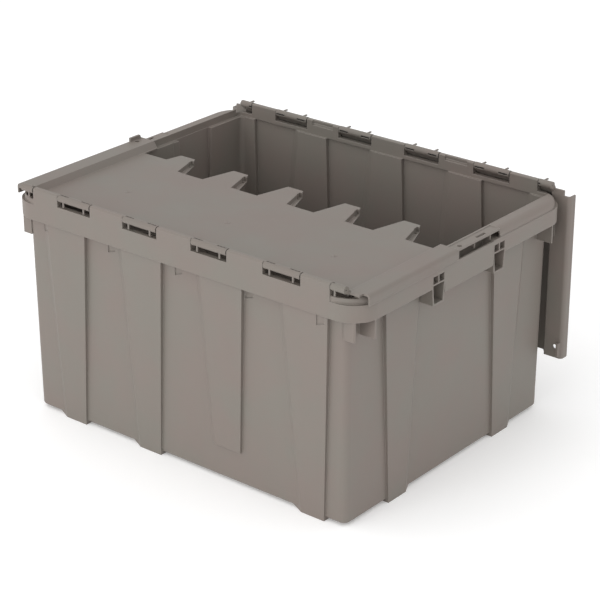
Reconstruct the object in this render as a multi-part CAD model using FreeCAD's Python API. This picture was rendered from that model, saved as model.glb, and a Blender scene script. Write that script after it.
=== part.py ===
import FreeCAD, Part
import math
import os

# Attached-lid storage tote in one moulded tub, two hinged lids and two steel hinge rods.
# Millimetres. X runs along the long side, Y along the short side, Z up.
# The origin is at the middle of the footprint, on the surface that the feet stand on.
# At rest the front lid (hinged at -Y) is shut and the rear lid (hinged at +Y) hangs open.

# Overall sizes
overall_length = 711.0          # over the end skirts of the lids
overall_width = 546.0           # over the hinge barrels
overall_height = 397.0          # to the top of the hinge barrels

# Hinge
rod_radius = 2.25
rod_fit = 0.05                  # radial clearance of the rod in every bore
barrel_radius = 6.0
barrel_wall = 1.8
knuckle_width = 28.0
window_pitch = 140.0
window_width = 71.0
window_depth = 20.5             # from the barrel top to the sill
barrel_end_gap = 1.5
fin_offset = 22.0
fin_width = 2.6
fin_depth = 2.2
fin_set_back = 0.5
corner_window_inset = 56.5      # from the end of a lid skirt to the inner end of a corner window
corner_barrel_length = 24.5
retaining_wall = 2.0            # the end of a corner barrel, which keeps the rod in
assembly_hole_radius = 1.3
rod_end_gap = 0.5
rod_chamfer = 0.6

# Rim of the tub
rail_depth = 9.5                # thickness of the long rail that carries the rod
rail_drop = 1.0                 # the rail's top below the barrel's top
rail_face_inset = 1.0           # the rail's outer face inside the barrel's outermost line
rail_outer_bevel = 2.5
rail_inner_bevel = 1.5
window_reach = 6.0              # how far a window is cut past the rail's inner face
band_bottom = 341.0
ledge_height = 368.0
curb_height = 382.5
curb_round = 11.0
curb_inset = 1.0
band_corner_radius = 44.0
curb_corner_radius = 52.0
band_skin = 3.5
skirt_thickness = 3.0
skirt_side_gap = 0.5
curb_corner_gap = 15.0          # the curb stops this far from the hinge line

# Tub walls
wall = 3.5
floor_thickness = 4.0
foot_height = 4.0
rim_overhang = 21.0             # band face to column face at a short side
rail_overhang = 1.5             # band face to column face at a long side
column_taper_long = 8.0         # how far a long side's column face leans in towards the base
column_taper_short = 6.0
panel_recess_top = 8.0
panel_recess_base = 3.5
wall_corner_radius = 12.0
seat_gap = 2.0                  # between the recessed panels' top and the underside of a shut lid
seat_corner_radius = 6.0
base_round = 6.0                # the tub's bottom edge, between the feet

# Wall columns
long_column_pitch = 161.5
long_column_shift = 10.0
short_column_pitch = 278.0
short_column_shift = -1.0
column_width_top = 82.0
column_width_base = 44.0
column_lean = 22.0              # how far the first column's sharp edge leans from top to base
column_lean_step = 4.0          # how much less each next column leans
column_ramp = 16.0              # run of a column's gentle side, against its sharp side
foot_depth = 13.0
footless_column = 2             # the long-side column, counted from the left, that stops short
footless_height = 60.0          # the height where that column ends

# Webs, handles and pockets under the rim
web_thickness = 2.8
web_set_back = 1.0              # a web's outer edge behind the band's face
web_bottom = 310.0
second_web_gap = 30.0
handle_half = 63.0              # from the middle to the inner face of a handle box
handle_box_width = 32.5
handle_box_bottom = 313.0
handle_box_top = 362.0
handle_cell_split = 346.5
handle_taper = 3.0              # how much each side of a handle box draws in below the split
cell_wall = 2.4
handle_cell_back = 2.0          # a cell's back face outside the column face
grip_bottom = 328.0
grip_lip_radius = 2.6
curb_cut_half = 82.0
flange_drop_below_curb = 1.0
flange_thickness = 3.2
strap_slot_length = 24.0
strap_slot_width = 5.0
seal_hole_radius = 4.0
seal_hole_y = 13.0              # from the middle to the seal hole below a lid's lug
pocket_width = 15.0
pocket_height = 18.0
pocket_back = 1.5               # material left behind a pocket
pocket_lean = 5.0               # how much shorter a pocket's right edge is
rim_slit_length = 44.0
rim_slit_width = 2.0
rim_slit_depth = 9.0

# Lids
lid_thickness = 3.0
panel_drop = 16.0               # panel top below the rod axis
lip_drop = 6.5                  # hinge-side lip top below the rod axis
lip_gap = 1.5                   # between the lip and the rail's inner face
lip_width = 7.0
lip_slope = 9.0
lip_under_set = 1.75            # the underside of the slope, behind its upper side
flange_drop = 5.0               # end flange top below the rod axis
end_flange_width = 37.0
end_step_width = 7.0
skirt_bottom = 369.5
skirt_round = 6.0
skirt_start = 15.0              # from the hinge line to the start of a skirt
lid_end_reach = 32.5            # how far a long end passes the middle
lid_end_gap = 1.5
lug_length = 28.0
lug_thickness = 4.0
lug_rise = 6.5
lug_inset = 4.0                 # lug's outer face inside the skirt's face
lug_end_gap = 1.0
lug_slope = 5.0                 # run of the lug's sloping end
barrel_mouth = 4.5              # the barrel's open underside, below the rod axis
barrel_mouth_lip = 0.5          # the mouth's inner edge inside the barrel's hollow
barrel_slit_length = 18.0
barrel_slit_width = 2.6
corner_knuckle_start = 5.0      # from a corner barrel's inner end to its solid knuckle
fin_reach = 12.0                # a stop fin's tip below the rod axis

# Teeth
tooth_pitch = 116.0
tooth_tip = 31.0
tooth_reach = 30.0
valley_reach = 32.0
tooth_rise = 14.0               # run of the tooth's steep side
tooth_fall = 27.0               # run of the tooth's long side
ledge_width = 11.0
ledge_drop = 8.0
ledge_end = 8.0                 # from a tooth's tip to the end of its ledge
ledge_tip_width = 4.5
ledge_overlap = 1.0             # how far joined pieces of a ledge run into each other
tooth_edge_inset = 0.2          # a ledge's outer side inside the tooth's sloping edge
dimple_radius = 2.4             # the two small holes in each ledge
dimple_inset = 4.5
dimple_places = (0.2, 0.85)     # shares of the ledge's length
first_tooth = 57.5              # from the panel's end to the first tooth's tip
end_valley = 0.0
tooth_gap = 2.0
rim_overlap = 1.0               # how far an end rim runs in under the panel's level

# Values that follow from the sizes above
half_length = overall_length / 2
half_width = overall_width / 2
hinge_y = half_width - barrel_radius
hinge_z = overall_height - barrel_radius
rail_top = overall_height - rail_drop
rail_outer = half_width - rail_face_inset
rail_inner = rail_outer - rail_depth
sill = overall_height - window_depth
band_x = half_length - skirt_thickness - skirt_side_gap
band_y = rail_outer
panel_top = hinge_z - panel_drop - lid_thickness - seat_gap
corner_window = half_length - corner_window_inset
rail_half = corner_window
column_x = band_x - rim_overhang
column_y = rail_outer - rail_overhang
wall_top = rail_top
window_count = int(2 * corner_window / window_pitch)
long_columns = max(1, int(2 * column_x / long_column_pitch))
short_columns = max(1, round(2 * column_y / short_column_pitch))
rod_half = corner_window + barrel_end_gap + corner_barrel_length - retaining_wall - rod_end_gap
panel_half = half_length - end_flange_width - end_step_width + skirt_thickness
tooth_run = tooth_tip + tooth_fall
tooth_count = 1 + int((2 * panel_half - first_tooth - tooth_run) / tooth_pitch)
seal_hole_x = half_length - lug_inset - lug_thickness - 1.5 * seal_hole_radius
flange_top = curb_height - flange_drop_below_curb
corner_face = column_y - panel_recess_top   # the long side's panel face at the rim
second_web = corner_face - second_web_gap
hang_reach = hinge_y + hinge_z - skirt_bottom
place_y = (half_width - hang_reach) / 2     # the box round the whole object is centred on the origin


def vec(x, y, z):
    return FreeCAD.Vector(x, y, z)


def box(x0, x1, y0, y1, z0, z1):
    return Part.makeBox(x1 - x0, y1 - y0, z1 - z0, vec(x0, y0, z0))


def plan_prism(points, z0, z1):
    """A prism standing on an outline of (x, y) points."""
    corners = [vec(x, y, z0) for x, y in points]
    face = Part.Face(Part.makePolygon(corners + corners[:1]))
    return face.extrude(vec(0, 0, z1 - z0))


def side_prism(points, x0, x1):
    """A prism along X with an outline of (y, z) points."""
    corners = [vec(x0, y, z) for y, z in points]
    face = Part.Face(Part.makePolygon(corners + corners[:1]))
    return face.extrude(vec(x1 - x0, 0, 0))


def end_prism(points, y0, y1):
    """A prism along Y with an outline of (x, z) points."""
    corners = [vec(x, y0, z) for x, z in points]
    face = Part.Face(Part.makePolygon(corners + corners[:1]))
    return face.extrude(vec(0, y1 - y0, 0))


def arc_points(across, up, radius, start, end):
    """Points along an arc about (across, up) between two angles in degrees."""
    steps = 4
    points = []
    for step in range(steps + 1):
        angle = math.radians(start + (end - start) * step / steps)
        points.append((across + radius * math.cos(angle), up + radius * math.sin(angle)))
    return points


def rod_along_x(radius, x0, x1, y, z):
    return Part.makeCylinder(radius, x1 - x0, vec(x0, y, z), vec(1, 0, 0))


def half_turn(shape):
    """The copy of a shape turned by half a turn about the upright middle axis."""
    turned = shape.copy()
    turned.rotate(vec(0, 0, 0), vec(0, 0, 1), 180)
    return turned


def rounded_outline(half_x, half_y, radius, z):
    """A closed wire: a rectangle with round corners at height z."""
    edges = []
    ix = half_x - radius
    iy = half_y - radius
    centres = [(ix, iy, 0), (-ix, iy, 90), (-ix, -iy, 180), (ix, -iy, 270)]
    ends = []
    for cx, cy, start in centres:
        arc = Part.makeCircle(radius, vec(cx, cy, z), vec(0, 0, 1), start, start + 90)
        ends.append(arc)
    for number, arc in enumerate(ends):
        following = ends[(number + 1) % 4]
        edges.append(arc)
        edges.append(Part.makeLine(arc.Vertexes[-1].Point, following.Vertexes[0].Point))
    return Part.Wire(edges)


def rounded_block(half_x, half_y, radius, z0, z1):
    face = Part.Face(rounded_outline(half_x, half_y, radius, z0))
    return face.extrude(vec(0, 0, z1 - z0))


def tapered_block(base, top, z0, z1):
    """A tapered block; base and top are (half_x, half_y, corner radius)."""
    wires = [rounded_outline(*base, z0), rounded_outline(*top, z1)]
    return Part.makeLoft(wires, True, True)


def with_round_base(block, z, radius):
    edges = [edge for edge in block.Edges if edge.BoundBox.ZMax < z + 0.01]
    return block.makeFillet(radius, edges)


def column_level(offset, z0):
    """The tub's column faces as a solid, taken in by an offset from its outside."""
    base = (column_x - column_taper_short - offset, column_y - column_taper_long - offset,
            wall_corner_radius - offset)
    top = (column_x - offset, column_y - offset, wall_corner_radius - offset)
    block = tapered_block(base, top, 0, wall_top)
    span = half_length + half_width
    return block.cut(box(-span, span, -span, span, -1, z0)) if z0 > 0 else block


def panel_level(offset, z0, z1):
    """The tub's recessed panels as a solid, taken in by an offset from its outside."""
    inset_base = panel_recess_base + offset
    inset_top = panel_recess_top + offset
    base = (column_x - column_taper_short - inset_base, column_y - column_taper_long - inset_base,
            wall_corner_radius - offset)
    top = (column_x - inset_top, column_y - inset_top, wall_corner_radius - offset)
    return tapered_block(base, top, z0, z1)


def column_section(sharp_x, far_x, face, z):
    """A column's section at height z: one sharp side and one gentle side, past both wall faces."""
    slope = column_ramp / panel_recess_top
    outer = face + foot_depth
    inner = face - foot_depth
    points = [vec(sharp_x, -outer, z), vec(sharp_x, -inner, z),
              vec(far_x - foot_depth * slope, -inner, z), vec(far_x + foot_depth * slope, -outer, z)]
    return Part.makePolygon(points + points[:1])


def column_slab(middle, lean, faces, grow, z0, z1):
    """One front column, leaning and narrowing towards its foot; faces are its base and top planes."""
    sharp_top = middle + column_width_top / 2 + grow
    far_top = middle - column_width_top / 2 - grow
    sharp_base = sharp_top - lean
    far_base = sharp_base - column_width_base - 2 * grow
    sections = []
    for z in (z0, z1):
        share = z / band_bottom
        face = faces[0] + (faces[1] - faces[0]) * z / wall_top
        sections.append(column_section(sharp_base + (sharp_top - sharp_base) * share,
                                       far_base + (far_top - far_base) * share, face, z))
    return Part.makeLoft(sections, True, True)


def column_middles(count, pitch, shift):
    return [(number - (count - 1) / 2) * pitch + shift for number in range(count)]


def column_slabs(grow, z0):
    """The outlines of every column on all four walls."""
    slabs = []
    faces = (column_y - column_taper_long, column_y)
    for number, middle in enumerate(column_middles(long_columns, long_column_pitch, long_column_shift)):
        start = footless_height - grow if number == footless_column else z0
        lean = column_lean - number * column_lean_step
        slab = column_slab(middle, lean, faces, grow, start, panel_top)
        slabs += [slab, half_turn(slab)]
    faces = (column_x - column_taper_short, column_x)
    for middle in column_middles(short_columns, short_column_pitch, -short_column_shift):
        slab = column_slab(-middle, column_lean, faces, grow, z0, panel_top)
        slab.rotate(vec(0, 0, 0), vec(0, 0, 1), 90)
        slab = slab.mirror(vec(0, 0, 0), vec(0, 1, 0))
        slabs += [slab, half_turn(slab)]
    return slabs


def tub_walls():
    """Recessed panels and standing columns, all one wall thickness, with the floor."""
    levels = column_level(0, 0)
    columns = [slab.common(levels) for slab in column_slabs(0, 0)]
    panels = with_round_base(panel_level(0, foot_height, wall_top), foot_height, base_round)
    return panels.fuse(columns)


def tub_inside(inset):
    """The space inside the tub's faces, taken in by an inset and open at the top."""
    floor_top = foot_height + floor_thickness
    inner_levels = column_level(inset, floor_top)
    columns = [slab.common(inner_levels) for slab in column_slabs(-inset, floor_top)]
    middle = with_round_base(panel_level(inset, floor_top, wall_top), floor_top, base_round - inset)
    return middle.fuse(columns)


def lid_seat():
    """The wider space at the top of the tub that a shut lid's edges need."""
    return rounded_block(column_x - wall, rail_inner, seat_corner_radius, panel_top, overall_height + 1)


def rim_band():
    """The outer band all round, and the convex curb above its ledge."""
    band = rounded_block(band_x, band_y, band_corner_radius, band_bottom, ledge_height)
    curb = rounded_block(band_x - curb_inset, band_y - curb_inset, curb_corner_radius,
                         ledge_height, curb_height)
    top_edges = [edge for edge in curb.Edges if edge.BoundBox.ZMin > curb_height - 0.01]
    curb = curb.makeFillet(curb_round, top_edges)
    corner_y = hinge_y - curb_corner_gap
    for side in (-1, 1):
        y0, y1 = sorted((side * corner_y, side * (half_width + 1)))
        curb = curb.cut(box(-half_length, half_length, y0, y1, sill, overall_height))
    return band.fuse(curb)


def long_rails():
    """The two upright rails that carry the hinge rods."""
    low = band_bottom
    outline = [(-rail_outer, low), (-rail_outer, rail_top - rail_outer_bevel),
               (-rail_outer + rail_outer_bevel, rail_top), (-rail_inner - rail_inner_bevel, rail_top),
               (-rail_inner, rail_top - rail_inner_bevel), (-rail_inner, low)]
    rail = side_prism(outline, -rail_half, rail_half)
    return [rail, half_turn(rail)]


def window_middles():
    return [(number - (window_count - 1) / 2) * window_pitch for number in range(window_count)]


def rim_slits():
    """A thin slit in each rail's inner top edge, between the two windows nearest each corner."""
    middle = window_pitch * (window_count - 2) / 2
    slits = []
    for x in {-middle, middle}:
        slits.append(box(x - rim_slit_length / 2, x + rim_slit_length / 2,
                         -rail_inner - rim_slit_width, -rail_inner + 1,
                         rail_top - rim_slit_depth, rail_top + 1))
    return slits + [half_turn(slit) for slit in slits]


def hinge_windows():
    """The notches in both rails where the lids' barrels turn."""
    cuts = []
    for middle in window_middles():
        x0 = middle - window_width / 2
        cuts.append(box(x0, x0 + window_width, -half_width - 1, -rail_inner + window_reach,
                        sill, overall_height + 1))
    return cuts + [half_turn(cut) for cut in cuts]


def rod_bores():
    bore = rod_along_x(rod_radius + rod_fit, -rail_half - 1, rail_half + 1, -hinge_y, hinge_z)
    return [bore, half_turn(bore)]


def rim_hollow():
    """The open space under the rim at a short side, leaving a skin; lower at the corners."""
    outer = band_x - band_skin
    bend_x = band_x - curb_inset - curb_round
    bend_z = curb_height - curb_round
    inner_round = curb_round - band_skin
    low = [(column_x, band_bottom - 1), (outer, band_bottom - 1), (outer, ledge_height - band_skin)]
    bend = arc_points(bend_x, bend_z, inner_round, 0, 90)
    hollow = end_prism(low + bend + [(column_x, bend_z + inner_round)], -second_web, second_web)
    corner = end_prism(low + [(column_x, ledge_height - band_skin)], -rail_inner, rail_inner)
    inside_band = rounded_block(band_x - band_skin, band_y - band_skin, band_corner_radius - band_skin,
                                band_bottom - 1, curb_height)
    cuts = [hollow, corner.common(inside_band)]
    return cuts + [half_turn(cut) for cut in cuts]


def rim_webs():
    """Upright webs under the band: one in line with each long wall and one further in."""
    root = column_x - column_taper_short - panel_recess_top
    webs = []
    for y in (-corner_face, corner_face - web_thickness, -second_web, second_web - web_thickness):
        webs.append(box(root, band_x, y, y + web_thickness, web_bottom, ledge_height - band_skin / 2))
    inside_band = rounded_block(band_x - web_set_back, band_y, band_corner_radius, web_bottom, ledge_height)
    webs = [web.common(inside_band).cut(panel_level(wall / 2, 0, wall_top)) for web in webs]
    return webs + [half_turn(web) for web in webs]


def handle_box(y0):
    """One hollow box column of a handle, with two small cells above a long one."""
    y1 = y0 + handle_box_width
    root = column_x - column_taper_short - panel_recess_top
    outline = [(y0, ledge_height), (y1, ledge_height), (y1, handle_cell_split),
               (y1 - handle_taper, handle_box_bottom), (y0 + handle_taper, handle_box_bottom),
               (y0, handle_cell_split)]
    return side_prism(outline, root, band_x)


def handle_cells(y0):
    """The cells cut into a handle box from its outer face."""
    y1 = y0 + handle_box_width
    middle = (y0 + y1) / 2
    half_wall = cell_wall / 2
    depth0 = column_x + handle_cell_back
    depth1 = band_x + 1
    cells = []
    for a, b in ((y0 + cell_wall, middle - half_wall), (middle + half_wall, y1 - cell_wall)):
        cells.append(box(depth0, depth1, a, b, handle_cell_split + half_wall, handle_box_top - cell_wall))
    low = handle_box_bottom + cell_wall
    high = handle_cell_split - half_wall
    outline = [(y0 + cell_wall, high), (y1 - cell_wall, high), (y1 - cell_wall - handle_taper, low),
               (y0 + cell_wall + handle_taper, low)]
    cells.append(side_prism(outline, depth0, depth1))
    return cells


def grip():
    """The outer grip plate of a handle, with its rolled lower lip."""
    inner = band_x - band_skin
    plate = box(inner, band_x, -handle_half, handle_half, grip_bottom, band_bottom + 1)
    lip = Part.makeCylinder(grip_lip_radius, 2 * handle_half,
                            vec(band_x - grip_lip_radius, -handle_half, grip_bottom), vec(0, 1, 0))
    return [plate, lip]


def handle_flange():
    """The flat top flange over a handle, and the webs that part it into three equal bays."""
    outer = band_x - band_skin
    low = flange_top - flange_thickness
    overlap = 1.0
    reach = curb_cut_half + overlap
    parts = [box(column_x - wall, outer, -reach, reach, low, flange_top)]
    for y in (-handle_half, -handle_half / 3, handle_half / 3, handle_half):
        parts.append(box(column_x - overlap, outer - flange_thickness, y - web_thickness / 2,
                         y + web_thickness / 2, ledge_height, low + overlap))
    return parts


def handle_cuts():
    """The curb is taken away over a handle, down to the band's ledge."""
    reach = curb_cut_half
    return [box(column_x, band_x + 1, -reach, reach, ledge_height - 1, curb_height + 1)]


def flange_holes():
    """A strap slot in each outer bay of the flange, and the hole for a seal in the middle bay."""
    holes = []
    low = ledge_height
    for y in (-handle_half * 2 / 3, handle_half * 2 / 3):
        holes.append(box(seal_hole_x - strap_slot_width / 2, seal_hole_x + strap_slot_width / 2,
                         y - strap_slot_length / 2, y + strap_slot_length / 2, low, curb_height + 1))
    foot = vec(seal_hole_x, -seal_hole_y, low)
    holes.append(Part.makeCylinder(seal_hole_radius, curb_height - low, foot))
    return holes


def pockets():
    """Small blind pockets under the band, one below each rail segment."""
    cuts = []
    count = window_count + 1
    kept = tub_inside(pocket_back)
    for number in range(count):
        x = (number - (count - 1) / 2) * window_pitch
        half = pocket_width / 2
        low = band_bottom - pocket_height
        outline = [(x - half, band_bottom), (x + half, band_bottom),
                   (x + half, low + pocket_lean), (x - half, low)]
        cuts.append(end_prism(outline, -half_width, -second_web).cut(kept))
    return cuts + [half_turn(cut) for cut in cuts]


def container():
    body = tub_walls().fuse([rim_band()] + long_rails())
    body = body.cut([tub_inside(wall), lid_seat()] + rim_hollow())
    handles = []
    cells = []
    for y0 in (handle_half, -handle_half - handle_box_width):
        handles.append(handle_box(y0))
        cells += handle_cells(y0)
    room = box(column_x, band_x - band_skin, -handle_half, handle_half, band_bottom - 1, ledge_height)
    body = body.cut(handle_cuts() + [half_turn(cut) for cut in handle_cuts()])
    additions = handles + grip() + handle_flange()
    additions += [half_turn(piece) for piece in additions]
    outside_only = [piece.cut(panel_level(wall / 2, 0, wall_top)) for piece in additions]
    body = body.fuse(outside_only + rim_webs())
    cells += [half_turn(cell) for cell in cells] + [room, half_turn(room)]
    holes = flange_holes()
    holes += [half_turn(hole) for hole in holes]
    body = body.cut(cells + holes + pockets() + hinge_windows() + rim_slits() + rod_bores())
    return body.removeSplitter()


def front_edge():
    """The toothed free edge of the front lid's panel, from -X to +X."""
    points = [(-panel_half, end_valley)]
    ledges = []
    height = tooth_reach + valley_reach
    x0 = -panel_half + first_tooth
    for number in range(tooth_count):
        left = x0 + number * tooth_pitch
        low = end_valley if number == 0 else -valley_reach
        points.append((left - tooth_rise * (tooth_reach - low) / height, low))
        points.append((left, tooth_reach))
        points.append((left + tooth_tip, tooth_reach))
        points.append((left + tooth_tip + tooth_fall, -valley_reach))
        ledges.append((left + tooth_tip, left + tooth_tip + tooth_fall))
    points.append((panel_half, -valley_reach))
    return points, ledges


def shell_zones():
    """Each barrel as (start, end, knuckle start, knuckle end, fin places)."""
    zones = []
    for middle in window_middles():
        half = window_width / 2 - barrel_end_gap
        fins = [middle - fin_offset, middle + fin_offset]
        zones.append((middle - half, middle + half, middle - knuckle_width / 2,
                      middle + knuckle_width / 2, fins))
    start = corner_window + barrel_end_gap
    end = start + corner_barrel_length
    knuckle = start + corner_knuckle_start
    fin = knuckle + fin_width
    zones.append((start, end, knuckle, end, [fin]))
    zones.append((-end, -start, -end, -knuckle, [-fin]))
    return zones


def lip_inner():
    return -rail_inner + lip_gap


def barrel(zone):
    """One barrel of a shut front lid: half-round cover, bored knuckle, fins and arm."""
    start, end, knuckle0, knuckle1, fins = zone
    y, z = -hinge_y, hinge_z
    lip = lip_inner()
    arm_outline = [(y, z + barrel_radius), (lip + lip_width, z - lip_drop),
                   (lip + lip_width, z - lip_drop - lid_thickness), (lip, z - lip_drop - lid_thickness),
                   (y, z - barrel_radius)]
    arm = side_prism(arm_outline, start, end)
    body = rod_along_x(barrel_radius, start, end, y, z).fuse(arm)
    inner = barrel_radius - barrel_wall
    tools = []
    for a, b in ((start, knuckle0), (knuckle1, end)):
        if b > a:
            tools.append(rod_along_x(inner, a, b, y, z))
            tools.append(box(a, b, y - barrel_radius - 1, y + inner - barrel_mouth_lip,
                             z - barrel_radius - 1, z - barrel_mouth))
            length = min(barrel_slit_length, b - a)
            slit = b - length if a == start else a
            tools.append(box(slit, slit + length, y - barrel_slit_width / 2, y + barrel_slit_width / 2,
                             z, z + barrel_radius + 1))
    body = body.cut(tools)
    fin_face = y - barrel_radius + fin_set_back
    plates = []
    for x in fins:
        plates.append(box(x - fin_width / 2, x + fin_width / 2, fin_face, fin_face + fin_depth,
                          z - fin_reach, z - rod_radius))
    body = body.fuse(plates)
    return body.cut(lid_bores(start, end))


def lid_bores(start, end):
    """The rod's bore in a barrel; a corner barrel's end keeps the rod in."""
    y, z = -hinge_y, hinge_z
    reach = rod_half + rod_end_gap
    bore0 = max(start - 1, -reach)
    bore1 = min(end + 1, reach)
    bore = rod_along_x(rod_radius + rod_fit, bore0, bore1, y, z)
    hole = rod_along_x(assembly_hole_radius, start - 1, end + 1, y, z)
    return bore.fuse(hole)


def lip():
    """The raised strip along the hinge side, sloping down to the panel."""
    y0 = lip_inner()
    top = hinge_z - lip_drop
    panel = hinge_z - panel_drop
    y1 = y0 + lip_width
    y2 = y1 + lip_slope
    y3 = y2 + rim_overlap
    low = panel - lid_thickness
    outline = [(y0, top), (y1, top), (y2, panel), (y3, panel), (y3, low),
               (y2 - lip_under_set, low), (y1 - lip_under_set, top - lid_thickness),
               (y0, top - lid_thickness)]
    return side_prism(outline, -panel_half - end_step_width, panel_half + end_step_width)


def end_profile(sign):
    """The end of a lid in section: step up, flange and skirt, as (x, z) points."""
    panel = hinge_z - panel_drop
    top = hinge_z - flange_drop
    t = lid_thickness
    x0 = panel_half
    x1 = panel_half + end_step_width
    x2 = half_length - skirt_round
    bend = arc_points(x2, top - skirt_round, skirt_round, 90, 0)
    inside = arc_points(x2, top - skirt_round, skirt_round - t, 0, 90)
    points = [(x0 - rim_overlap, panel), (x0, panel), (x1, top)] + bend
    points += [(half_length, skirt_bottom), (half_length - t, skirt_bottom)] + inside
    points += [(x1 + t / 2, top - t), (x0 + t / 2, panel - t), (x0 - rim_overlap, panel - t)]
    return [(sign * x, z) for x, z in points]


def end_rim(sign, y_end):
    """One end of the front lid: the raised flange with its skirt, and the piece beside the hinge."""
    start = -hinge_y + skirt_start
    rim = end_prism(end_profile(sign), start, y_end)
    top = hinge_z - flange_drop
    x0, x1 = sorted((sign * (panel_half + end_step_width - 1), sign * (half_length - 2 * skirt_round)))
    near_hinge = box(x0, x1, lip_inner(), start + 1, top - lid_thickness, top)
    return [rim, near_hinge]


def lug(sign):
    """The upright lug on a long end, and the hole beside it for a seal."""
    base = hinge_z - flange_drop
    root = base - lid_thickness
    y1 = lid_end_reach - lug_end_gap
    y0 = y1 - lug_length
    x1 = sign * (half_length - lug_inset)
    x0 = x1 - sign * lug_thickness
    outline = [(y0, root), (y0, base + lug_rise), (y1 - lug_slope, base + lug_rise), (y1, root)]
    upright = side_prism(outline, min(x0, x1), max(x0, x1))
    hole = Part.makeCylinder(seal_hole_radius, 2 * lid_thickness,
                             vec(sign * seal_hole_x, seal_hole_y, root - lid_thickness / 2))
    return upright, hole


def tooth_ledges(ledges):
    """The sunken ledge beside each tooth, one step below the panel."""
    panel = hinge_z - panel_drop
    pieces = []
    notches = []
    span = tooth_reach + valley_reach
    for x0, x1 in ledges:
        lean = (x1 - x0) / span
        y0 = -valley_reach + ledge_overlap
        y1 = tooth_reach - ledge_end
        xa = x1 - lean * (y0 + valley_reach)
        xb = x1 - lean * (y1 + valley_reach)
        notch = [(xa - ledge_width, y0), (xa + ledge_overlap, y0), (xb + ledge_overlap, y1),
                 (xb - ledge_tip_width, y1)]
        notches.append(plan_prism(notch, panel - ledge_drop, panel + 1))
        for share in dimple_places:
            x = xa + (xb - xa) * share - dimple_inset
            y = y0 + (y1 - y0) * share
            foot = vec(x, y, panel - 2 * ledge_drop)
            notches.append(Part.makeCylinder(dimple_radius, 2 * ledge_drop, foot))
        back = 2 * ledge_overlap
        ledge = [(xa - ledge_width - back, y0 - back), (xa - tooth_edge_inset, y0 - back),
                 (xb - tooth_edge_inset, y1 + back), (xb - ledge_tip_width - back, y1 + back)]
        bottom = panel - ledge_drop - lid_thickness + ledge_overlap
        pieces.append(plan_prism(ledge, bottom, panel - ledge_overlap / 2))
    return pieces, notches


def lid_with(edge, ledges):
    """A shut lid on the front hinge line, from its free edge; its long end is at -X."""
    panel = hinge_z - panel_drop
    hinge_side = lip_inner() + lip_width + lip_slope
    outline = [(-panel_half, hinge_side)] + edge + [(panel_half, hinge_side)]
    plate = plan_prism(outline, panel - lid_thickness, panel)
    short_end = -lid_end_reach - lid_end_gap
    plate = plate.cut(box(panel_half - rim_overlap - tooth_gap, half_length, short_end, half_width,
                          panel - 2 * lid_thickness, panel + lid_thickness))
    upright, hole = lug(-1)
    ledge_pieces, notches = tooth_ledges(ledges)
    pieces = [lip(), upright] + end_rim(-1, lid_end_reach) + end_rim(1, short_end)
    pieces += ledge_pieces + [barrel(zone) for zone in shell_zones()]
    body = plate.fuse(pieces).cut([hole] + notches)
    return body.removeSplitter()


def front_lid():
    edge, ledges = front_edge()
    return lid_with(edge, ledges)


def rear_lid_shut():
    """The other lid, whose teeth fill the front lid's valleys; drawn on the front hinge line."""
    front, _ = front_edge()
    points = [(-x, -y - tooth_gap) for x, y in reversed(front)]
    return half_turn(lid_with(spread(points), []))


def spread(points):
    """Widens every valley so that the other lid's teeth pass with the gap on each side."""
    result = []
    last = len(points) - 1
    for number, (x, y) in enumerate(points):
        if number in (0, last):
            result.append((x, y))
            continue
        before = points[number - 1]
        after = points[number + 1]
        rising = after[1] - before[1]
        shift = tooth_gap if rising > 0 else -tooth_gap
        result.append((x + shift, y))
    return result


def rear_lid():
    """The rear lid hanging open, turned three quarters of a turn back from shut."""
    lid = rear_lid_shut()
    lid.rotate(vec(0, hinge_y, hinge_z), vec(-1, 0, 0), 270)
    return lid


def hinge_rod():
    rod = rod_along_x(rod_radius, -rod_half, rod_half, -hinge_y, hinge_z)
    return rod.makeChamfer(rod_chamfer, [edge for edge in rod.Edges if edge.Closed])


os.makedirs("parts", exist_ok=True)
nodes = {
    "container": container(),
    "front_lid": front_lid(),
    "rear_lid": rear_lid(),
    "front_hinge_rod": hinge_rod(),
    "rear_hinge_rod": half_turn(hinge_rod()),
}
for name, shape in nodes.items():
    shape.translate(vec(0, place_y, 0))
    shape.exportStep("parts/" + name + ".step")
    bounds = shape.BoundBox
    spans = [bounds.XMin, bounds.XMax, bounds.YMin, bounds.YMax, bounds.ZMin, bounds.ZMax]
    print(name, shape.ShapeType, len(shape.Solids), shape.isValid(),
          round(shape.Volume / 1000, 1), "cm3", [round(value, 1) for value in spans])
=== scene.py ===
import math

import bmesh
import bpy
from mathutils import Matrix, Vector


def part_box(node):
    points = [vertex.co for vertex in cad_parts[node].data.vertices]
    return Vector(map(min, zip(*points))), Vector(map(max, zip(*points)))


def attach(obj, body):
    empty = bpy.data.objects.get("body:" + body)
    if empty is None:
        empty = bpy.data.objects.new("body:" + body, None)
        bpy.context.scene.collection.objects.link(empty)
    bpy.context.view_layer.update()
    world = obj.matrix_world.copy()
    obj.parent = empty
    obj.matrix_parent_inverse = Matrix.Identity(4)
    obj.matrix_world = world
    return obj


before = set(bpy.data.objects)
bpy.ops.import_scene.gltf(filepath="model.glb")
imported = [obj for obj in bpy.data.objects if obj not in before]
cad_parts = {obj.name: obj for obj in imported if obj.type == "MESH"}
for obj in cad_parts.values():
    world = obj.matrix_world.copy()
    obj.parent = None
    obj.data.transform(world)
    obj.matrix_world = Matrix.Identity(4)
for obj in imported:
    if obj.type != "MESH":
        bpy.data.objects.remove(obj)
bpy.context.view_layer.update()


# ---- Floor, camera and lights ------------------------------------------------------------------
# A pale studio floor that the tote stands on. The camera looks down on the right front corner
# through a long lens, and large soft lights stand at the front, to the right and overhead.
FLOOR_SIZE = 60.0
floor_mesh = bpy.data.meshes.new("studio_floor")
reach = FLOOR_SIZE / 2
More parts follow.
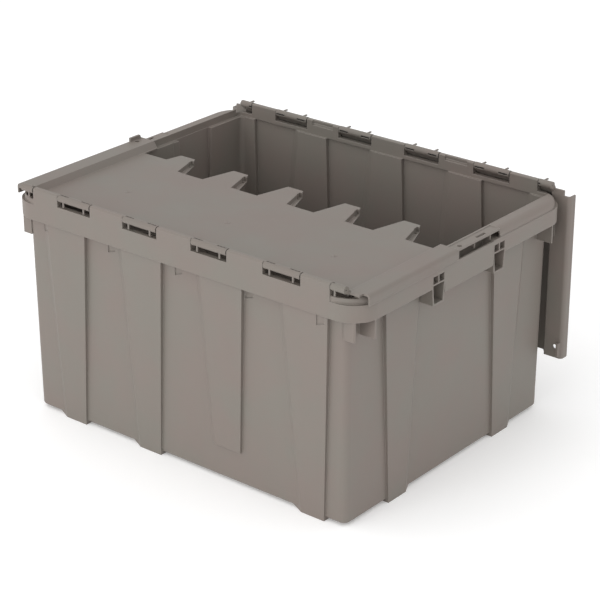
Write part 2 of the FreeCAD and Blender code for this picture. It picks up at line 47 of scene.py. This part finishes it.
floor_corners = [(-reach, -reach, 0), (reach, -reach, 0), (reach, reach, 0), (-reach, reach, 0)]
floor_mesh.from_pydata(floor_corners, [], [(0, 1, 2, 3)])
floor = bpy.data.objects.new("studio_floor", floor_mesh)
bpy.context.scene.collection.objects.link(floor)

tub_low, tub_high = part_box("container")
MIDDLE_HEIGHT = 0.2
TUB_MIDDLE = Vector(((tub_low.x + tub_high.x) / 2, (tub_low.y + tub_high.y) / 2, MIDDLE_HEIGHT))

CAMERA_TURN = 0.689
CAMERA_RISE = 0.417
CAMERA_DISTANCE = 3.3576
AIM_TURN = 0.683
AIM_DIP = 0.419
SENSOR_WIDTH = 36.0
LENS_LENGTH = 123.78
CAMERA_SIGHT = 100
camera_data = bpy.data.cameras.new("camera")
camera_data.sensor_width = SENSOR_WIDTH
camera_data.lens = LENS_LENGTH
camera_data.clip_end = CAMERA_SIGHT
camera = bpy.data.objects.new("camera", camera_data)
outward = Vector((math.sin(CAMERA_TURN) * math.cos(CAMERA_RISE),
                  -math.cos(CAMERA_TURN) * math.cos(CAMERA_RISE), math.sin(CAMERA_RISE)))
camera.location = TUB_MIDDLE + outward * CAMERA_DISTANCE
camera.rotation_euler = (math.pi / 2 - AIM_DIP, 0, AIM_TURN)
bpy.context.scene.collection.objects.link(camera)
bpy.context.scene.camera = camera


def soft_light(name, place, size, power):
    """A square light that faces the tote's middle."""
    data = bpy.data.lights.new(name, "AREA")
    data.shape = "SQUARE"
    data.size = size
    data.energy = power
    light = bpy.data.objects.new(name, data)
    light.location = place
    light.rotation_euler = (TUB_MIDDLE - Vector(place)).to_track_quat("-Z", "Y").to_euler()
    bpy.context.scene.collection.objects.link(light)


soft_light("key_light", (-0.2, -4.4, 2.0), 2.6, 52)
soft_light("side_light", (4.4, -0.6, 2.6), 2.6, 3)
soft_light("top_light", (-0.6, -1.2, 4.0), 3.0, 22)

# The plain transform keeps the white studio white.
bpy.context.scene.view_settings.view_transform = "Standard"

STUDIO_WHITE = (1.0, 1.0, 1.0, 1.0)
STUDIO_STRENGTH = 0.90
world = bpy.data.worlds.new("studio")
bpy.context.scene.world = world
world.use_nodes = True
backdrop = world.node_tree.nodes["Background"]
backdrop.inputs["Color"].default_value = STUDIO_WHITE
backdrop.inputs["Strength"].default_value = STUDIO_STRENGTH


class Wire:
    """A socket that sums can be written with: each operator adds its Math node."""

    def __init__(self, board, socket):
        self.board = board
        self.socket = socket

    def maths(self, operation, first, second):
        made = self.board.node("ShaderNodeMath", {"operation": operation}, {0: first, 1: second})
        return made["Value"]

    def __add__(self, other):
        return self.maths("ADD", self, other)

    def __radd__(self, other):
        return self.maths("ADD", other, self)

    def __sub__(self, other):
        return self.maths("SUBTRACT", self, other)

    def __rsub__(self, other):
        return self.maths("SUBTRACT", other, self)

    def __mul__(self, other):
        return self.maths("MULTIPLY", self, other)

    def __rmul__(self, other):
        return self.maths("MULTIPLY", other, self)


class Board:
    """One material's nodes. node() adds any node: its type, its settings, then its sockets."""

    def __init__(self, name):
        self.material = bpy.data.materials.new(name)
        self.material.use_nodes = True
        self.tree = self.material.node_tree
        self.tree.nodes.clear()

    def node(self, kind, settings, sockets):
        made = self.tree.nodes.new(kind)
        for name, value in settings.items():
            if name == "stops":
                self.set_stops(made, value)
            else:
                setattr(made, name, value)
        for name, value in sockets.items():
            if isinstance(value, Wire):
                self.tree.links.new(value.socket, made.inputs[name])
            else:
                made.inputs[name].default_value = value
        return {socket.name: Wire(self, socket) for socket in made.outputs if socket.enabled}

    def set_stops(self, ramp_node, stops):
        elements = ramp_node.color_ramp.elements
        while len(elements) < len(stops):
            elements.new(1.0)
        for element, (place, colour) in zip(elements, stops):
            element.position = place
            element.color = colour

    def surface(self, sockets):
        shader = self.node("ShaderNodeBsdfPrincipled", {}, sockets)
        self.node("ShaderNodeOutputMaterial", {}, {"Surface": shader["BSDF"]})
        return self.material


FLOOR_COLOUR = (0.95, 0.95, 0.95, 1)
FLOOR_GLOW = 0.16
floor_board = Board("studio_floor_paint")
floor_spots = floor_board.node("ShaderNodeTexNoise", {}, {"Scale": 1.5, "Detail": 3.0})["Fac"]
floor.data.materials.append(floor_board.surface({
    "Base Color": FLOOR_COLOUR, "Roughness": 0.9 + 0.05 * floor_spots, "Specular IOR Level": 0.0,
    "Emission Color": STUDIO_WHITE, "Emission Strength": FLOOR_GLOW}))


# ---- Tub ----------------------------------------------------------------------------------------
# High-density polyethylene, coloured all through, moulded in one shot against a lightly blasted
# steel mould. It has a satin skin, faint warm and cool mottling from the recycled feed, and a
# painted highlight along its edges, where they would catch the light.

WARM_SHARES = (1.03, 0.985, 0.98)
COOL_SHARES = (0.975, 1.01, 0.99)
STREAK_COLOUR = (0.62, 0.60, 0.58, 1)
EDGE_RADIUS = 0.0014
SKIN_DEPTH = 0.0004


def moulded_plastic(name, colour, edge_highlight_colour):
    """Mottled, finely grained plastic of one colour, with a painted highlight on its edges."""
    board = Board(name)
    place = board.node("ShaderNodeTexCoord", {}, {})["Object"]
    cloud = board.node("ShaderNodeTexNoise", {}, {"Vector": place, "Scale": 9.0, "Detail": 5.0,
                                                  "Roughness": 0.6})["Fac"]
    warm = tuple(level * share for level, share in zip(colour, WARM_SHARES))
    cool = tuple(level * share for level, share in zip(colour, COOL_SHARES))
    mottle = board.node("ShaderNodeValToRGB", {"stops": [(0.38, (*cool, 1)), (0.62, (*warm, 1))]},
                        {"Fac": cloud})["Color"]
    grain = board.node("ShaderNodeTexNoise", {},
                       {"Vector": place, "Scale": 1100.0, "Detail": 2.0})["Fac"]
    pits = board.node("ShaderNodeTexNoise", {},
                      {"Vector": place, "Scale": 170.0, "Detail": 3.0})["Fac"]
    flow = board.node("ShaderNodeMapping", {},
                      {"Vector": place, "Scale": (14.0, 14.0, 3.0)})["Vector"]
    streak = board.node("ShaderNodeTexNoise", {},
                        {"Vector": flow, "Scale": 1.0, "Detail": 4.0})["Fac"]
    rounded = board.node("ShaderNodeBevel", {"samples": 6}, {"Radius": EDGE_RADIUS})["Normal"]
    flat = board.node("ShaderNodeNewGeometry", {}, {})["True Normal"]
    along = board.node("ShaderNodeVectorMath", {"operation": "DOT_PRODUCT"},
                       {0: rounded, 1: flat})["Value"]
    edge = board.node("ShaderNodeMapRange", {}, {"Value": along, "From Min": 0.995,
                                                 "From Max": 0.80, "To Min": 0.0,
                                                 "To Max": 1.0})["Result"]
    # Painted highlight: the rounded edges are mixed towards the paler colour, broken up by the
    # pits.
    edge_highlight = edge * (0.45 + 0.55 * pits)
    highlighted = board.node("ShaderNodeMix", {"data_type": "RGBA"},
                       {"Factor": edge_highlight * 0.6, "A": mottle, "B": (*edge_highlight_colour, 1)})["Result"]
    streaked = board.node("ShaderNodeMix", {"data_type": "RGBA", "blend_type": "MULTIPLY"},
                          {"Factor": 0.12 * streak, "A": highlighted, "B": STREAK_COLOUR})["Result"]
    skin = board.node("ShaderNodeBump", {}, {"Strength": 0.12, "Distance": SKIN_DEPTH,
                                             "Height": 0.6 * grain + 0.4 * pits,
                                             "Normal": rounded})["Normal"]
    return board.surface({
        "Base Color": streaked, "Roughness": 0.42 + 0.16 * cloud - 0.08 * edge, "IOR": 1.5,
        "Specular IOR Level": 0.38, "Normal": skin})


def finish_node(node, material):
    """Gives every material slot of a CAD node the finish."""
    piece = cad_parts[node]
    for number in range(len(piece.material_slots)):
        piece.material_slots[number].material = material


TUB_COLOUR = (0.205, 0.180, 0.160)
# The paler colour is a painted highlight for the tub's edges.
TUB_EDGE_HIGHLIGHT = (0.40, 0.37, 0.34)
finish_node("container", moulded_plastic("tub_plastic", TUB_COLOUR, TUB_EDGE_HIGHLIGHT))


# ---- Lids ---------------------------------------------------------------------------------------
# Two mouldings of the same plastic as the tub, each with half-round barrels that snap over a rod.
# They are a shade darker than the tub: painted shade, which tones down their lit upper faces.
LID_SHADED_COLOUR = (0.196, 0.172, 0.153)
# The paler colour is a painted highlight for the lids' edges, darkened like the rest.
LID_SHADED_EDGE_HIGHLIGHT = (0.39, 0.36, 0.335)
lid_plastic = moulded_plastic("lid_plastic", LID_SHADED_COLOUR, LID_SHADED_EDGE_HIGHLIGHT)
finish_node("front_lid", lid_plastic)
finish_node("rear_lid", lid_plastic)


# ---- Studs and gate marks of the lids -----------------------------------------------------------
# A low domed stud stands on the ledge beside each tooth, to take the other lid's edge. Each panel
# also keeps three gate marks, where the plastic was let in: a shallow ring round a broken-off nub.

TURN_STEPS = 32


def turned(name, profile, place, out):
    """A round piece: a profile of (radius, height) points turned about the way it faces."""
    rounds = bmesh.new()
    rings = []
    for radius, height in profile:
        ring = []
        for step in range(TURN_STEPS):
            angle = 2 * math.pi * step / TURN_STEPS
            point = (radius * math.cos(angle), radius * math.sin(angle), height)
            ring.append(rounds.verts.new(point))
        rings.append(ring)
    for low, high in zip(rings, rings[1:]):
        for step in range(TURN_STEPS):
            after = (step + 1) % TURN_STEPS
            rounds.faces.new((low[step], low[after], high[after], high[step]))
    rounds.faces.new(rings[-1])
    rounds.faces.new(list(reversed(rings[0])))
    mesh = bpy.data.meshes.new(name)
    rounds.to_mesh(mesh)
    rounds.free()
    for face in mesh.polygons:
        face.use_smooth = len(face.vertices) == 4
    piece = bpy.data.objects.new(name, mesh)
    facing = Vector(out).to_track_quat("Z", "Y").to_matrix().to_4x4()
    mesh.transform(Matrix.Translation(place) @ facing)
    bpy.context.scene.collection.objects.link(piece)
    piece.data.materials.append(lid_plastic)
    return piece


front_low, front_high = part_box("front_lid")
rear_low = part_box("rear_lid")[0]
BARREL_RADIUS = 0.006
PANEL_DROP = 0.016
PANEL_INSET = 0.041
hinge_height = front_high.z - BARREL_RADIUS
front_hinge_y = front_low.y + BARREL_RADIUS
panel_height = hinge_height - PANEL_DROP
rear_panel_y = rear_low.y + BARREL_RADIUS + PANEL_DROP

STUD_PROFILE = [(0.0034, -0.0010), (0.0034, 0.0012), (0.0031, 0.0021), (0.0022, 0.0029),
                (0.0010, 0.0033)]
LEDGE_DROP = 0.008
FIRST_STUD = 0.1007
TOOTH_PITCH = 0.116
TOOTH_COUNT = 5
STUD_REACH = 0.2441
for number in range(TOOTH_COUNT):
    stud_x = front_low.x + PANEL_INSET + FIRST_STUD + number * TOOTH_PITCH
    stud = turned("ledge_stud_%d" % (number + 1), STUD_PROFILE,
                  (stud_x, front_hinge_y + STUD_REACH, panel_height - LEDGE_DROP), (0, 0, 1))
    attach(stud, "front_lid")

GATE_PROFILE = [(0.0052, -0.0004), (0.0052, 0.00012), (0.0048, 0.00030), (0.0042, 0.00030),
                (0.0037, 0.00006), (0.0018, 0.00004), (0.0014, 0.00045), (0.0006, 0.00062)]
GATE_COUNT = 3
MIDDLE_GATE = 1
GATE_PITCH = 0.210
GATE_REACH = 0.118
for number in range(GATE_COUNT):
    gate_x = (number - MIDDLE_GATE) * GATE_PITCH
    front_gate = turned("front_gate_%d" % (number + 1), GATE_PROFILE,
                        (gate_x, front_hinge_y + GATE_REACH, panel_height), (0, 0, 1))
    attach(front_gate, "front_lid")
    # The rear lid hangs, so its upper face looks in towards the tub, with the hinge above it.
    rear_gate = turned("rear_gate_%d" % (number + 1), GATE_PROFILE,
                       (gate_x, rear_panel_y, hinge_height - GATE_REACH), (0, -1, 0))
    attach(rear_gate, "rear_lid")


# ---- Hinge rods ---------------------------------------------------------------------------------
# Drawn steel wire, cut to length and pushed in through the end of a corner barrel. It is dull and
# bright by turns along its length, with fine drawing lines.

DULL_STEEL = (0.36, 0.35, 0.34, 1)
BRIGHT_STEEL = (0.56, 0.55, 0.53, 1)
DRAWING_DEPTH = 0.0002


def drawn_wire(name):
    """Steel with fine lines along the wire, since it was pulled through a die."""
    board = Board(name)
    place = board.node("ShaderNodeTexCoord", {}, {})["Object"]
    stretched = board.node("ShaderNodeMapping", {},
                           {"Vector": place, "Scale": (20.0, 900.0, 900.0)})["Vector"]
    lines = board.node("ShaderNodeTexNoise", {},
                       {"Vector": stretched, "Scale": 1.0, "Detail": 3.0})["Fac"]
    dull = board.node("ShaderNodeTexNoise", {},
                      {"Vector": place, "Scale": 30.0, "Detail": 2.0})["Fac"]
    tone = board.node("ShaderNodeValToRGB", {"stops": [(0.3, DULL_STEEL), (0.7, BRIGHT_STEEL)]},
                      {"Fac": lines})["Color"]
    drawn = board.node("ShaderNodeBump", {},
                       {"Strength": 0.2, "Distance": DRAWING_DEPTH, "Height": lines})["Normal"]
    return board.surface({"Base Color": tone, "Metallic": 0.9, "Roughness": 0.30 + 0.2 * dull,
                          "Normal": drawn})


rod_steel = drawn_wire("drawn_steel_wire")
finish_node("front_hinge_rod", rod_steel)
finish_node("rear_hinge_rod", rod_steel)
